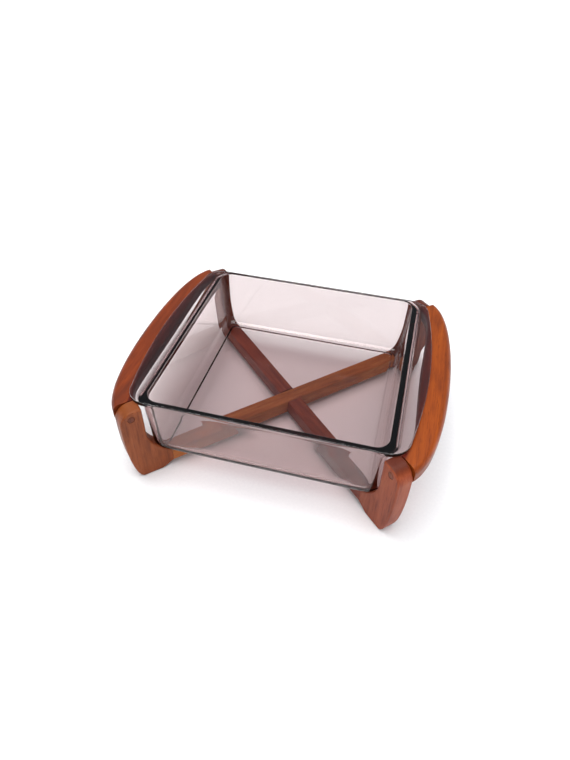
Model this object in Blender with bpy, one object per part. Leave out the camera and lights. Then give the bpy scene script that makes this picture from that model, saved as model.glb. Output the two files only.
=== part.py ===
"""Teak cross-frame serving stand with a lift-out square glass dish.

Two bars cross on the diagonals in a half-lap joint.  A fin-shaped foot is
dowelled to each bar end, and a curved handle on each side ties a front foot
to a rear foot with a plugged wood screw at each end.  The dish rests on the
bars between the four feet.

Metres, +Z up.  X runs from handle to handle, Y from front to back, and the
origin is on the table under the crossing of the bars.
"""
import math

import bmesh
import bpy
from mathutils import Matrix, Vector

# ---- driving dimensions -------------------------------------------------
GAP = 0.0003                # air between touching pieces
STOCK = 0.0150              # thickness of the teak in feet and bars
EDGE = 0.0016               # rounding of feet and bar edges

BAR_BOTTOM = 0.0055
BAR_TOP = 0.0207
SEAM = 0.1305               # radius at which a bar meets its foot

FOOT_TOP = 0.0815
FOOT_HEEL = 0.1410          # where the sole starts
FOOT_TOE = 0.1600           # where the sole ends
FOOT_BACK = 0.1715          # outermost edge of the fin
HORN_FACE = 0.1503          # inner edge of the upright horn
HORN_ROOT = 0.0530          # height at which the cradle curve starts
HORN_RADIUS = 0.0110        # rounding of the top outer corner
BACK_LOW = 0.0050           # heights of the control points of the bowed back
BACK_MIDDLE = 0.0330
BACK_HIGH = 0.0600
CRADLE_PULL = 0.0395        # height to which the cradle curve runs straight down the horn
CRADLE_BELLY = (0.1415, 0.0280)
HEEL_CHAMFER = (0.1365, 0.0022)

HANDLE_TOP = 0.0812
HANDLE_BOTTOM = 0.0640
HANDLE_OUTER = 0.1475       # outer face at mid-length
HANDLE_INNER = 0.1205       # inner face at mid-length
HANDLE_OUTER_EDGE = 0.0055  # rounding of the palm side
HANDLE_INNER_EDGE = 0.0050  # rounding of the dish side
HANDLE_TURN = 0.0130        # how far the handle runs straight out of its foot
HANDLE_INNER_PULL = 0.0500  # how far each side of mid-length the edges stay straight
HANDLE_OUTER_PULL = 0.0600

SCREW_T = 0.1604            # screw centre, along the diagonal
SCREW_Z = 0.0740
PLUG_RADIUS = 0.0030
PLUG_LENGTH = 0.0040
SCREW_HEAD_RADIUS = 0.0028
SCREW_HEAD = 0.0022
SCREW_SHANK_RADIUS = 0.00175
SCREW_LENGTH = 0.0280
SCREW_POINT = 0.0050
SCREW_SLOT = 0.0008

DOWEL_RADIUS = 0.0025
DOWEL_LENGTH = 0.0240
DOWEL_SPACING = 0.0074
DOWEL_CHAMFER = 0.0006

DISH_BOTTOM = BAR_TOP + GAP
DISH_TOP = 0.0853
DISH_MOUTH = 0.1068         # half-width outside, just under the rim
DISH_INSIDE = 0.1030        # half-width inside, just under the rim
DISH_RIM = 0.1080           # half-depth over the rim
DISH_FLOOR = 0.0050
DISH_DRAFT = 4.5            # lean of the walls, in degrees
DISH_COVE = 0.0150          # rounding between wall and base, inside and out
DISH_EDGE = 0.0010          # rounding of the rim and lugs
DISH_ROOT = 0.0012          # fillet under the lugs
COVE_PINCH = 0.5            # share of the cove by which its plan corners tighten towards the base
BASE_CORNER = 0.0130        # plan radius of the outside corners above the cove
RIM_CORNER = 0.0165         # plan radius of the outside corners at the rim
LUG_CORNER = 0.0190         # plan radius at the corners of the lugs
LUG_REACH = 0.1205          # half-width over the lugs at their corners
LUG_BOW = 0.0078            # how much further they reach at mid-length
LUG_UNDER = 0.0819          # underside of the lugs, clear of the handles

ROUND = 16                  # sides of a screw, dowel or plug
CORNER_STEPS = 5            # segments in a plan corner of the dish
COVE_STEPS = 4              # segments in the cove of the dish
SIDE_STEPS = 8              # segments along a bowed side of the dish
HANDLE_STEPS = 34           # segments along a handle

CORNERS = {
    "front_right": (-45.0, 1),
    "rear_right": (45.0, -1),
    "rear_left": (135.0, 1),
    "front_left": (-135.0, -1),
}                           # angle of the diagonal, side the handle is on


# ---- helpers ------------------------------------------------------------
def clear_scene():
    for thing in list(bpy.data.objects):
        bpy.data.objects.remove(thing, do_unlink=True)


def principled(name, colour, roughness, metallic=0.0, transmission=0.0):
    made = bpy.data.materials.new(name)
    made.use_nodes = True
    shader = made.node_tree.nodes["Principled BSDF"]
    shader.inputs["Base Color"].default_value = (*colour, 1.0)
    shader.inputs["Roughness"].default_value = roughness
    shader.inputs["Metallic"].default_value = metallic
    shader.inputs["Transmission Weight"].default_value = transmission
    return made


def to_object(name, body, material=None, angle=0.0, smooth=35.0):
    """Turn a bmesh into a named object, turned about Z by angle degrees."""
    bmesh.ops.recalc_face_normals(body, faces=body.faces)
    mesh = bpy.data.meshes.new(name)
    body.to_mesh(mesh)
    body.free()
    if material:
        mesh.materials.append(material)
    mesh.shade_smooth()
    mesh.set_sharp_from_angle(angle=math.radians(smooth))
    thing = bpy.data.objects.new(name, mesh)
    thing.rotation_euler[2] = math.radians(angle)
    bpy.context.scene.collection.objects.link(thing)
    return thing


def prism(outline, half_thickness):
    """Extrude an (x, z) outline from -half_thickness to +half_thickness in Y."""
    body = bmesh.new()
    front = [body.verts.new((x, -half_thickness, z)) for x, z in outline]
    face = body.faces.new(front)
    grown = bmesh.ops.extrude_face_region(body, geom=[face])
    moved = [item for item in grown["geom"] if isinstance(item, bmesh.types.BMVert)]
    bmesh.ops.translate(body, verts=moved, vec=(0.0, 2.0 * half_thickness, 0.0))
    return body


def turned(profile, axis="X"):
    """Spin (radius, along) pairs into a closed round body along X or Y."""
    body = bmesh.new()
    rings = []
    for radius, along in profile:
        ring = []
        for step in range(ROUND):
            turn = 2.0 * math.pi * step / ROUND
            ring.append(body.verts.new((along, radius * math.cos(turn), radius * math.sin(turn))))
        rings.append(ring)
    for low, high in zip(rings, rings[1:]):
        for step in range(ROUND):
            after = (step + 1) % ROUND
            body.faces.new((low[step], low[after], high[after], high[step]))
    body.faces.new(rings[0])
    body.faces.new(rings[-1])
    if axis == "Y":
        bmesh.ops.rotate(body, verts=body.verts, matrix=Matrix.Rotation(math.pi / 2, 3, "Z"))
    return body


def shift(body, offset):
    bmesh.ops.translate(body, verts=body.verts, vec=offset)
    return body


def cut(target, name, body, angle=0.0):
    """Take the bmesh body away from target with an exact Boolean."""
    cutter = to_object(name, body, angle=angle)
    cutter.hide_render = True
    cutter.display_type = "WIRE"
    modifier = target.modifiers.new(name, "BOOLEAN")
    modifier.operation = "DIFFERENCE"
    modifier.solver = "EXACT"
    modifier.object = cutter


def bezier(points, amount):
    """Point on the cubic curve through four 2-D control points."""
    back = 1.0 - amount
    weights = (back ** 3, 3 * back ** 2 * amount, 3 * back * amount ** 2, amount ** 3)
    parts = (Vector(point) * weight for point, weight in zip(points, weights))
    return sum(parts, Vector((0.0, 0.0)))


# ---- bars ---------------------------------------------------------------
def bar(name, angle, lap_from, lap_to, material):
    """A square-ended bar along a diagonal with half of the crossing cut away."""
    half = STOCK / 2
    length = SEAM - GAP / 2
    outline = [(-length, BAR_BOTTOM), (length, BAR_BOTTOM), (length, BAR_TOP), (-length, BAR_TOP)]
    body = prism(outline, half)
    long_edges = [
        edge for edge in body.edges
        if abs(edge.verts[0].co.x - edge.verts[1].co.x) > length
    ]
    bmesh.ops.bevel(body, geom=long_edges, offset=EDGE, segments=2, profile=0.5, affect="EDGES")
    made = to_object(name, body, material, angle)
    reach = half + GAP
    lap = [(-reach, lap_from), (reach, lap_from), (reach, lap_to), (-reach, lap_to)]
    cut(made, name + "_lap", prism(lap, STOCK), angle)
    for end, turn in (("far", 0.0), ("near", 180.0)):
        for label, offset, height in dowel_places():
            cut(made, f"{name}_{end}_{label}_hole", dowel_hole(offset, height), angle + turn)


def dowel_places():
    """Heights and sideways offsets of the two dowels in a bar end."""
    height = (BAR_BOTTOM + EDGE + BAR_TOP) / 2
    return [("inner", -DOWEL_SPACING / 2, height), ("outer", DOWEL_SPACING / 2, height)]


def dowel_hole(offset, height):
    reach = DOWEL_LENGTH / 2 + GAP
    radius = DOWEL_RADIUS + GAP
    return shift(turned([(radius, SEAM - reach), (radius, SEAM + reach)]), (0.0, offset, height))


def dowel(name, angle, offset, height, material):
    half = DOWEL_LENGTH / 2
    profile = [
        (DOWEL_RADIUS - DOWEL_CHAMFER, SEAM - half),
        (DOWEL_RADIUS, SEAM - half + DOWEL_CHAMFER),
        (DOWEL_RADIUS, SEAM + half - DOWEL_CHAMFER),
        (DOWEL_RADIUS - DOWEL_CHAMFER, SEAM + half),
    ]
    to_object(name, shift(turned(profile), (0.0, offset, height)), material, angle)


# ---- feet ---------------------------------------------------------------
def screw_seat():
    """Distance of the top of the screw head from the middle of its foot."""
    return STOCK / 2 - PLUG_LENGTH - GAP


def at_screw(body, side):
    """Turn a body made along +Y to face away from the handle and put it on the screw's axis."""
    if side > 0:
        bmesh.ops.rotate(body, verts=body.verts, matrix=Matrix.Rotation(math.pi, 3, "Z"))
    return shift(body, (SCREW_T, 0.0, SCREW_Z))


def foot_outline():
    """The fin in its own upright plane: sole, bowed back, horn and cradle."""
    points = [(FOOT_HEEL, 0.0), (FOOT_TOE, 0.0)]
    toe = [(FOOT_TOE, 0.0), (FOOT_TOE + BACK_LOW, BACK_LOW)]
    back = toe + [(FOOT_BACK, BACK_MIDDLE), (FOOT_BACK, BACK_HIGH)]
    points += [tuple(bezier(back, step / 8)) for step in range(1, 9)]
    for step in range(6):
        turn = math.radians(90.0 * step / 5)
        points.append((
            FOOT_BACK - HORN_RADIUS * (1.0 - math.cos(turn)),
            FOOT_TOP - HORN_RADIUS * (1.0 - math.sin(turn)),
        ))
    points.append((HORN_FACE, FOOT_TOP))
    cradle = [(HORN_FACE, HORN_ROOT), (HORN_FACE, CRADLE_PULL), CRADLE_BELLY, (SEAM + GAP / 2, BAR_TOP)]
    points += [tuple(bezier(cradle, step / 9)) for step in range(10)]
    points.append((SEAM + GAP / 2, BAR_BOTTOM))
    points.append(HEEL_CHAMFER)
    return points


def foot(name, angle, side, material):
    body = prism(foot_outline(), STOCK / 2)
    seam = SEAM + GAP / 2 + 1e-6
    rim = []
    for edge in body.edges:
        one, two = edge.verts[0].co, edge.verts[1].co
        across = abs(one.y - two.y) > STOCK / 2
        at_seam = one.x < seam and two.x < seam
        if not across and not at_seam:
            rim.append(edge)
    bmesh.ops.bevel(body, geom=rim, offset=EDGE, segments=2, profile=0.5, affect="EDGES")
    made = to_object(name, body, material, angle)
    for label, offset, height in dowel_places():
        cut(made, f"{name}_{label}_hole", dowel_hole(offset, height), angle)
    floor = screw_seat() - SCREW_HEAD - GAP
    counterbore = [(PLUG_RADIUS + GAP, floor), (PLUG_RADIUS + GAP, STOCK)]
    shank = [(SCREW_SHANK_RADIUS + GAP, -STOCK), (SCREW_SHANK_RADIUS + GAP, STOCK)]
    for label, profile in (("counterbore", counterbore), ("shank", shank)):
        cut(made, f"{name}_{label}", at_screw(turned(profile, "Y"), side), angle)


# ---- handles ------------------------------------------------------------
def handle_edges(amount):
    """Inner and outer plan points at 0 (front foot) .. 1 (rear foot), on the +X side."""
    along = min(amount, 1.0 - amount) * 2.0
    face = STOCK / 2 + GAP
    root = math.sqrt(0.5)
    inner_end = Vector((HORN_FACE + face, -HORN_FACE + face)) * root
    outer_end = Vector((FOOT_BACK + face, -FOOT_BACK + face)) * root
    ahead = Vector((HANDLE_TURN, HANDLE_TURN))
    inner_middle = [(HANDLE_INNER, -HANDLE_INNER_PULL), (HANDLE_INNER, 0.0)]
    outer_middle = [(HANDLE_OUTER, -HANDLE_OUTER_PULL), (HANDLE_OUTER, 0.0)]
    inner = bezier([inner_end, inner_end + ahead] + inner_middle, along)
    outer = bezier([outer_end, outer_end + ahead] + outer_middle, along)
    if amount > 0.5:
        inner.y = -inner.y
        outer.y = -outer.y
    return inner, outer


def handle_section():
    """Rounded section as (0..1 across, metres in from that edge, height) triples."""
    corners = [
        (0.0, HANDLE_INNER_EDGE, HANDLE_BOTTOM, 180.0),
        (1.0, HANDLE_OUTER_EDGE, HANDLE_BOTTOM, 270.0),
        (1.0, HANDLE_OUTER_EDGE, HANDLE_TOP, 0.0),
        (0.0, HANDLE_INNER_EDGE, HANDLE_TOP, 90.0),
    ]
    section = []
    for across, radius, height, start in corners:
        centre = height + radius if height == HANDLE_BOTTOM else height - radius
        sign = 1.0 if across == 0.0 else -1.0
        for step in range(5):
            turn = math.radians(start + 90.0 * step / 4)
            inset = sign * radius + radius * math.cos(turn)
            section.append((across, inset, centre + radius * math.sin(turn)))
    return section


def handle(name, angle, material):
    body = bmesh.new()
    section = handle_section()
    rings = []
    for step in range(HANDLE_STEPS + 1):
        inner, outer = handle_edges(step / HANDLE_STEPS)
        sideways = (outer - inner).normalized()
        ring = []
        for across, inset, height in section:
            spot = inner.lerp(outer, across) + sideways * inset
            ring.append(body.verts.new((spot.x, spot.y, height)))
        rings.append(ring)
    count = len(section)
    for low, high in zip(rings, rings[1:]):
        for step in range(count):
            after = (step + 1) % count
            body.faces.new((low[step], low[after], high[after], high[step]))
    body.faces.new(rings[0])
    body.faces.new(rings[-1])
    made = to_object(name, body, material, angle)
    depth = SCREW_LENGTH - screw_seat() + GAP
    for label, diagonal, side in (("front", -45.0, 1), ("rear", 45.0, -1)):
        radius = SCREW_SHANK_RADIUS + GAP
        pilot = turned([(radius, 0.0), (radius, side * depth)], "Y")
        shift(pilot, (SCREW_T, 0.0, SCREW_Z))
        cut(made, f"{name}_{label}_pilot", pilot, angle + diagonal)


# ---- screws and plugs ---------------------------------------------------
def screw(name, angle, side, material):
    """Slotted countersunk wood screw; its head faces away from the handle."""
    seat = screw_seat()
    tip = seat - SCREW_LENGTH
    profile = [
        (SCREW_HEAD_RADIUS, seat),
        (SCREW_HEAD_RADIUS, seat - SCREW_HEAD * 0.4),
        (SCREW_SHANK_RADIUS, seat - SCREW_HEAD),
        (SCREW_SHANK_RADIUS, tip + SCREW_POINT),
        (SCREW_SHANK_RADIUS / 4, tip),
    ]
    made = to_object(name, at_screw(turned(profile, "Y"), side), material, angle)
    half = SCREW_SLOT / 2
    reach = SCREW_HEAD_RADIUS * 1.5
    outline = [(-reach, -half), (reach, -half), (reach, half), (-reach, half)]
    slot = shift(prism(outline, SCREW_SLOT), (0.0, seat, 0.0))
    cut(made, name + "_slot", at_screw(slot, side), angle)


def plug(name, angle, side, material):
    half = STOCK / 2
    body = turned([(PLUG_RADIUS, half - PLUG_LENGTH), (PLUG_RADIUS, half)], "Y")
    to_object(name, at_screw(body, side), material, angle)


# ---- dish ---------------------------------------------------------------
def dish_ring(half_x, half_y, radius, bow, height):
    """Rounded rectangle in plan whose left and right sides may bow outwards."""
    end_x = half_x - radius
    end_y = half_y - radius
    points = []
    for sign_x, sign_y, start in ((1, 1, 0.0), (-1, 1, 90.0), (-1, -1, 180.0), (1, -1, 270.0)):
        for step in range(CORNER_STEPS + 1):
            turn = math.radians(start + 90.0 * step / CORNER_STEPS)
            x = sign_x * end_x + radius * math.cos(turn)
            points.append((x, sign_y * end_y + radius * math.sin(turn)))
        if sign_x != sign_y:
            for step in range(1, SIDE_STEPS):
                y = sign_y * end_y * (1.0 - 2.0 * step / SIDE_STEPS)
                points.append((sign_x * (half_x + bow * (1.0 - (y / end_y) ** 2)), y))
    return [(x, y, height) for x, y in points]


def wall_rings(half, corner, low, high):
    """Base or floor edge, cove and leaning wall of one face of the dish, from low to high."""
    lean = math.radians(DISH_DRAFT)
    centre = low + DISH_COVE
    foot_of_wall = half - (high - centre) * math.tan(lean)
    flat = foot_of_wall - DISH_COVE / math.cos(lean)
    rings = []
    for step in range(COVE_STEPS + 1):
        turn = (math.pi / 2 - lean) * step / COVE_STEPS
        size = flat + DISH_COVE * math.sin(turn)
        radius = corner - DISH_COVE * (1.0 - math.sin(turn)) * COVE_PINCH
        rings.append((size, size, radius, 0.0, centre - DISH_COVE * math.cos(turn)))
    rings.append((half, half, corner - BASE_CORNER + RIM_CORNER, 0.0, high))
    return rings


def dish_rings():
    """Outside from the base up, over the rim and lugs, and down the inside to the floor."""
    top = DISH_TOP - DISH_BOTTOM
    under = LUG_UNDER - DISH_BOTTOM
    outside = wall_rings(DISH_MOUTH, BASE_CORNER, 0.0, under - DISH_ROOT)
    inside = wall_rings(DISH_INSIDE, BASE_CORNER - DISH_MOUTH + DISH_INSIDE, DISH_FLOOR, top - DISH_EDGE)
    lip = DISH_INSIDE + DISH_EDGE
    lip_corner = RIM_CORNER - DISH_RIM + lip
    edge = DISH_EDGE
    rim = [
        (DISH_MOUTH + DISH_ROOT / 2, DISH_MOUTH + DISH_ROOT / 2, RIM_CORNER, 0.0, under),
        (LUG_REACH - edge, DISH_RIM - edge / 2, LUG_CORNER - edge, LUG_BOW, under),
        (LUG_REACH, DISH_RIM, LUG_CORNER, LUG_BOW, under + edge),
        (LUG_REACH, DISH_RIM, LUG_CORNER, LUG_BOW, top - edge),
        (LUG_REACH - edge, DISH_RIM - edge, LUG_CORNER - edge, LUG_BOW, top),
        (lip, lip, lip_corner, 0.0, top),
    ]
    return [dish_ring(*ring) for ring in outside + rim + inside[::-1]]


def dish(name, material):
    body = bmesh.new()
    rings = [[body.verts.new(point) for point in ring] for ring in dish_rings()]
    count = len(rings[0])
    for low, high in zip(rings, rings[1:]):
        for step in range(count):
            after = (step + 1) % count
            body.faces.new((low[step], low[after], high[after], high[step]))
    body.faces.new(rings[0])
    body.faces.new(rings[-1])
    made = to_object(name, body, material)
    made.location.z = DISH_BOTTOM


# ---- assembly -----------------------------------------------------------
def main():
    clear_scene()
    handle_teak = principled("handle_teak", (0.38, 0.12, 0.03), 0.40)
    foot_teak = principled("foot_teak", (0.27, 0.08, 0.03), 0.45)
    light_teak = principled("light_teak", (0.33, 0.13, 0.05), 0.45)
    red_teak = principled("red_teak", (0.22, 0.06, 0.03), 0.45)
    beech = principled("beech", (0.60, 0.42, 0.25), 0.60)
    zinc = principled("zinc_steel", (0.55, 0.55, 0.52), 0.35, metallic=1.0)
    glass = principled("smoky_glass", (0.75, 0.62, 0.64), 0.02, transmission=1.0)

    middle = (BAR_BOTTOM + BAR_TOP) / 2
    bar("upper_cross_bar", 45.0, BAR_BOTTOM - EDGE, middle + GAP / 2, light_teak)
    bar("lower_cross_bar", -45.0, middle - GAP / 2, BAR_TOP + EDGE, red_teak)
    for corner, (angle, side) in CORNERS.items():
        foot(corner + "_foot", angle, side, foot_teak)
        screw(corner + "_screw", angle, side, zinc)
        plug(corner + "_plug", angle, side, light_teak)
        for label, offset, height in dowel_places():
            dowel(f"{corner}_{label}_dowel", angle, offset, height, beech)
    handle("right_handle", 0.0, handle_teak)
    handle("left_handle", 180.0, handle_teak)
    dish("glass_dish", glass)


main()
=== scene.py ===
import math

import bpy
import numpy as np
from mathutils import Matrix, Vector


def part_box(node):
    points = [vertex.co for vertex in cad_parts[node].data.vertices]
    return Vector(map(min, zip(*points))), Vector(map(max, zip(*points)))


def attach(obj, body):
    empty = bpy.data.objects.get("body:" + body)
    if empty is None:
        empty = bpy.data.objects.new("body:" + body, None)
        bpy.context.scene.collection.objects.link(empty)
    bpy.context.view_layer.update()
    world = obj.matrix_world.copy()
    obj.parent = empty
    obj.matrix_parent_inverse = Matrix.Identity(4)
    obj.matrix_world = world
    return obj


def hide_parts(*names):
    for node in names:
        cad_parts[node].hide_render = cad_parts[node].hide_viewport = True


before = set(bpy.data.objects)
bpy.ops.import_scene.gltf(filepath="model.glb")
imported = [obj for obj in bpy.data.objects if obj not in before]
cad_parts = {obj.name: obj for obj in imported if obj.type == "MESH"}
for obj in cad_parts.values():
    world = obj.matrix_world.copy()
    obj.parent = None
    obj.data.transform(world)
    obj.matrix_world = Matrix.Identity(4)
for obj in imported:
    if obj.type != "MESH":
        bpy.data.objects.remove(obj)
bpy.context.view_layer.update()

# %% [markdown]
# # A teak cross-frame stand with a smoky glass dish
# The stand is two crossed teak bars, a fin-shaped foot at each of their ends, and two curved handles that tie
# the feet together.  A square pressed-glass baking dish drops in between the feet.  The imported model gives
# every place and size.  This lesson makes the fine surfaces and the finishes.
#
# Everything is in metres, +Z up, X from handle to handle, and the origin on the table under the crossing.

MM = 0.001
ROOT2 = math.sqrt(2.0)

# %% [markdown]
# ## Reading the driving sizes out of the frame
# A foot stands in the upright plane of a diagonal, so its box in X holds its reach along the diagonal and half
# of its thickness, both divided by the square root of two.  The bar meets it face to face, so the two boxes
# together give the thickness of the wood and the radius of the glued seam.  Reading them here keeps the fine
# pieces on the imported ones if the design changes.

# %% Sizes
bar_low, bar_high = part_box("upper_cross_bar")
foot_low, foot_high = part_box("rear_right_foot")
grip_low, grip_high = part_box("right_handle")
dish_low, dish_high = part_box("glass_dish")

GLUE = 0.3 * MM                                             # gap where the glue line is
HALF = (bar_high.x - foot_low.x) / ROOT2 + GLUE / 2         # half the thickness of the teak
SEAM = (bar_high.x + foot_low.x) / ROOT2                    # radius of the seam between bar and foot
BACK = foot_high.x * ROOT2 - HALF                           # radius of the outermost edge of a foot
FOOT_TOP = foot_high.z
print(f"teak {2000 * HALF:.1f} mm thick, seam at {1000 * SEAM:.1f} mm, foot reaches {1000 * BACK:.1f} mm")

CORNERS = {
    "front_right": (-45.0, 1),
    "rear_right": (45.0, -1),
    "rear_left": (135.0, 1),
    "front_left": (-135.0, -1),
}                                                           # angle of the diagonal, side its handle is on

# %% [markdown]
# ## A mesh from a grid of points
# Most pieces here are a profile carried along a path, which is a grid: one parameter runs round the profile and
# the other along the path.  A grid of points becomes a mesh by joining each point to its neighbours.  Numpy
# does that for the whole grid at once, so there is no loop over vertices.  Closing the two ends with a flat
# face each makes a solid that could be printed.

# %% Grid helpers
def sheet_faces(rows, columns):
    """Quads that join a rows x columns grid whose columns close into a ring."""
    row, column = np.meshgrid(np.arange(rows - 1), np.arange(columns), indexing="ij")
    after = (column + 1) % columns
    quads = np.stack([
        row * columns + column,
        row * columns + after,
        (row + 1) * columns + after,
        (row + 1) * columns + column,
    ], axis=-1)
    return quads.reshape(-1, 4)


def solid(name, rings, smooth=40.0):
    """Closed mesh object from a stack of rings, an array of shape (rings, points, 3), with its ends filled."""
    count, columns, _ = rings.shape
    ends = [np.arange(columns)[::-1].tolist(), (np.arange(columns) + (count - 1) * columns).tolist()]
    mesh = bpy.data.meshes.new(name)
    mesh.from_pydata(rings.reshape(-1, 3).tolist(), [], sheet_faces(count, columns).tolist() + ends)
    thing = bpy.data.objects.new(name, mesh)
    bpy.context.scene.collection.objects.link(thing)
    if signed_volume(mesh) < 0.0:
        mesh.flip_normals()
    mesh.shade_smooth()
    mesh.set_sharp_from_angle(angle=math.radians(smooth))
    return thing


def signed_volume(mesh):
    """Volume by the divergence theorem: a sixth of the sum of the triangles' triple products."""
    mesh.calc_loop_triangles()
    corners = np.empty(3 * len(mesh.loop_triangles), np.int32)
    mesh.loop_triangles.foreach_get("vertices", corners)
    places = np.empty(3 * len(mesh.vertices), np.float32)
    mesh.vertices.foreach_get("co", places)
    one, two, three = places.reshape(-1, 3)[corners.reshape(-1, 3)].astype(float).transpose(1, 0, 2)
    return float(np.einsum("ij,ij->i", one, np.cross(two, three)).sum() / 6.0)


def about_z(points, degrees):
    """Turn an array of points about the Z axis."""
    cos, sin = math.cos(math.radians(degrees)), math.sin(math.radians(degrees))
    x, y, z = np.moveaxis(points, -1, 0)
    return np.stack([x * cos - y * sin, x * sin + y * cos, z], axis=-1)


def bezier(points, count, first=True):
    """Cubic curve through four control points: the Bernstein weights times the points."""
    amount = np.linspace(0.0, 1.0, count)[:, None]
    if not first:
        amount = amount[1:]
    back = 1.0 - amount
    parts = [back ** 3, 3 * back ** 2 * amount, 3 * back * amount ** 2, amount ** 3]
    weights = np.concatenate(parts, axis=1)
    return weights @ np.array(points, float)


def fillet(before, corner, after, radius, count=6):
    """Arc of the given radius that rounds a corner of an outline, from the first leg to the second."""
    before, corner, after = (np.array(point, float) for point in (before, corner, after))
    into = (before - corner) / np.linalg.norm(before - corner)
    away = (after - corner) / np.linalg.norm(after - corner)
    half_angle = math.acos(float(np.clip(into @ away, -1.0, 1.0))) / 2.0
    middle = (into + away) / np.linalg.norm(into + away)
    centre = corner + middle * radius / math.sin(half_angle)
    sweep = np.linspace(-1.0, 1.0, count)[:, None] * (math.pi / 2.0 - half_angle)
    across = (away - into) / np.linalg.norm(away - into)
    return centre + radius * (-middle * np.cos(sweep) + across * np.sin(sweep))


def evaluated(thing):
    """Apply the piece's modifiers and give it the result as its own mesh."""
    view = bpy.context.evaluated_depsgraph_get()
    mesh = bpy.data.meshes.new_from_object(thing.evaluated_get(view))
    old = thing.data
    name = old.name
    thing.modifiers.clear()
    thing.data = mesh
    bpy.data.meshes.remove(old)
    mesh.name = name


def drill(thing, cutters):
    """Cut holes or a slot out of a piece with exact Booleans, apply them, and throw the cutters away."""
    for cutter in cutters:
        cut = thing.modifiers.new(cutter.name, "BOOLEAN")
        cut.operation = "DIFFERENCE"
        cut.solver = "EXACT"
        cut.object = cutter
    evaluated(thing)
    for cutter in cutters:
        bpy.data.objects.remove(cutter, do_unlink=True)
    thing.data.shade_smooth()
    thing.data.set_sharp_from_angle(angle=math.radians(40.0))


def even_normals(thing):
    """Let the large flat faces set the shading, so that a rounded edge doesn't darken them."""
    weighted = thing.modifiers.new("even_normals", "WEIGHTED_NORMAL")
    weighted.keep_sharp = True


# %% [markdown]
# ## Round pieces
# Screws, dowels, plugs and drills are all turned: a profile of radius against distance along an axis, spun
# round that axis.  A function of the angle added to the radius cuts flutes or a thread into the same grid.

# %% Turned pieces
def turned(radius, along, sides=48, relief=None):
    """Spin a profile round X: point = (along, r cos a, r sin a), with r = radius + relief(along, a)."""
    angle = np.arange(sides) * 2.0 * math.pi / sides
    along = np.asarray(along, float)[:, None] + 0.0 * angle
    radius = np.asarray(radius, float)[:, None] + 0.0 * angle
    if relief is not None:
        radius = radius + relief(along, angle + 0.0 * along)
    rings = np.stack([along, radius * np.cos(angle), radius * np.sin(angle)], axis=-1)
    return rings


def face_on(rings, side, radius, height, degrees):
    """Lay a piece turned about X along the thickness of a foot, facing away from its handle."""
    along, y, z = np.moveaxis(rings, -1, 0)
    laid = np.stack([radius + side * y, -side * along, z + height], axis=-1)
    return about_z(laid, degrees)


# %% [markdown]
# ## The feet
# Each foot is a fin of 15 mm teak, sawn to a bowed outline, with a cradle cut out of its inner edge for the
# corner of the dish and a small flat sole.  Its arrises are rounded over by hand.  It could be an extruded
# curve with a Bevel modifier, but then the rounding would also eat into the glued seam.  Here the outline is
# the first parameter and the thickness the second: each ring is the outline moved inwards by a quarter circle
# near the two faces, and not at all at the seam, where foot and bar run on into each other.

# %% Foot outline
EDGE = 1.6 * MM
HEEL = 141.0 * MM                                           # inner end of the sole
TOE = 160.0 * MM                                            # outer end of the sole
HORN = 150.3 * MM                                           # inner edge of the upright horn
SEAM_FACE = SEAM + GLUE / 2
SEAM_TOP = bar_high.z
SEAM_LOW = bar_low.z
CHAMFER = (136.5 * MM, 2.2 * MM)                            # corner of the underside, just inside the sole
BACK_HIGH = 60.0 * MM                                       # from here up the back is straight
HORN_ROOT = 53.0 * MM                                       # from here up the horn's inner edge is straight
TOP_ROUND = 13.5 * MM                                       # rounding of the top outer corner


def foot_outline():
    """The fin as (radius, height) points: sole, bowed back, rounded top, horn, cradle, seam and chamfer."""
    heel, toe = (HEEL, 0.0), (TOE, 0.0)
    sole = [fillet(CHAMFER, heel, toe, 3.0 * MM), fillet(heel, toe, (TOE + 6 * MM, 5 * MM), 3.5 * MM)]
    bow = [sole[1][-1], (TOE + 7.0 * MM, 5.6 * MM), (BACK, 33 * MM), (BACK, BACK_HIGH)]
    rear = bezier(bow, 30, first=False)
    top_back = fillet((BACK, BACK_HIGH), (BACK, FOOT_TOP), (HORN, FOOT_TOP), TOP_ROUND, 18)
    top_front = fillet((BACK, FOOT_TOP), (HORN, FOOT_TOP), (HORN, 0.0), 1.8 * MM, 8)
    scoop = [(HORN, HORN_ROOT), (HORN, 39.5 * MM), (141.5 * MM, 28 * MM), (SEAM_FACE, SEAM_TOP)]
    cradle = bezier(scoop, 34)
    seam = np.array([[SEAM_FACE, SEAM_LOW]])
    lower = fillet((SEAM_FACE, SEAM_LOW), CHAMFER, heel, 6.0 * MM)
    return np.concatenate([sole[0], sole[1], rear, top_back, top_front, cradle, seam, lower])


def inward(outline):
    """Unit normals that point into an anticlockwise outline, from the chord between a point's neighbours."""
    chord = np.roll(outline, -1, axis=0) - np.roll(outline, 1, axis=0)
    normal = np.stack([-chord[:, 1], chord[:, 0]], axis=1)
    return normal / np.linalg.norm(normal, axis=1, keepdims=True)


def rounded_over(outline, half, edge, moves, steps=7):
    """Rings across the thickness: outline + edge (1 - sin a) inwards, at y = half - edge (1 - cos a)."""
    angle = np.linspace(0.0, math.pi / 2.0, steps)
    inset = edge * (1.0 - np.sin(angle))
    depth = half - edge * (1.0 - np.cos(angle))
    inset = np.concatenate([inset, inset[::-1]])
    depth = np.concatenate([-depth, depth[::-1]])
    flat = outline[None, :, :] + inset[:, None, None] * moves[None, :, :]
    y = depth[:, None] + 0.0 * flat[..., 0]
    return np.stack([flat[..., 0], y, flat[..., 1]], axis=-1)


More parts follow.
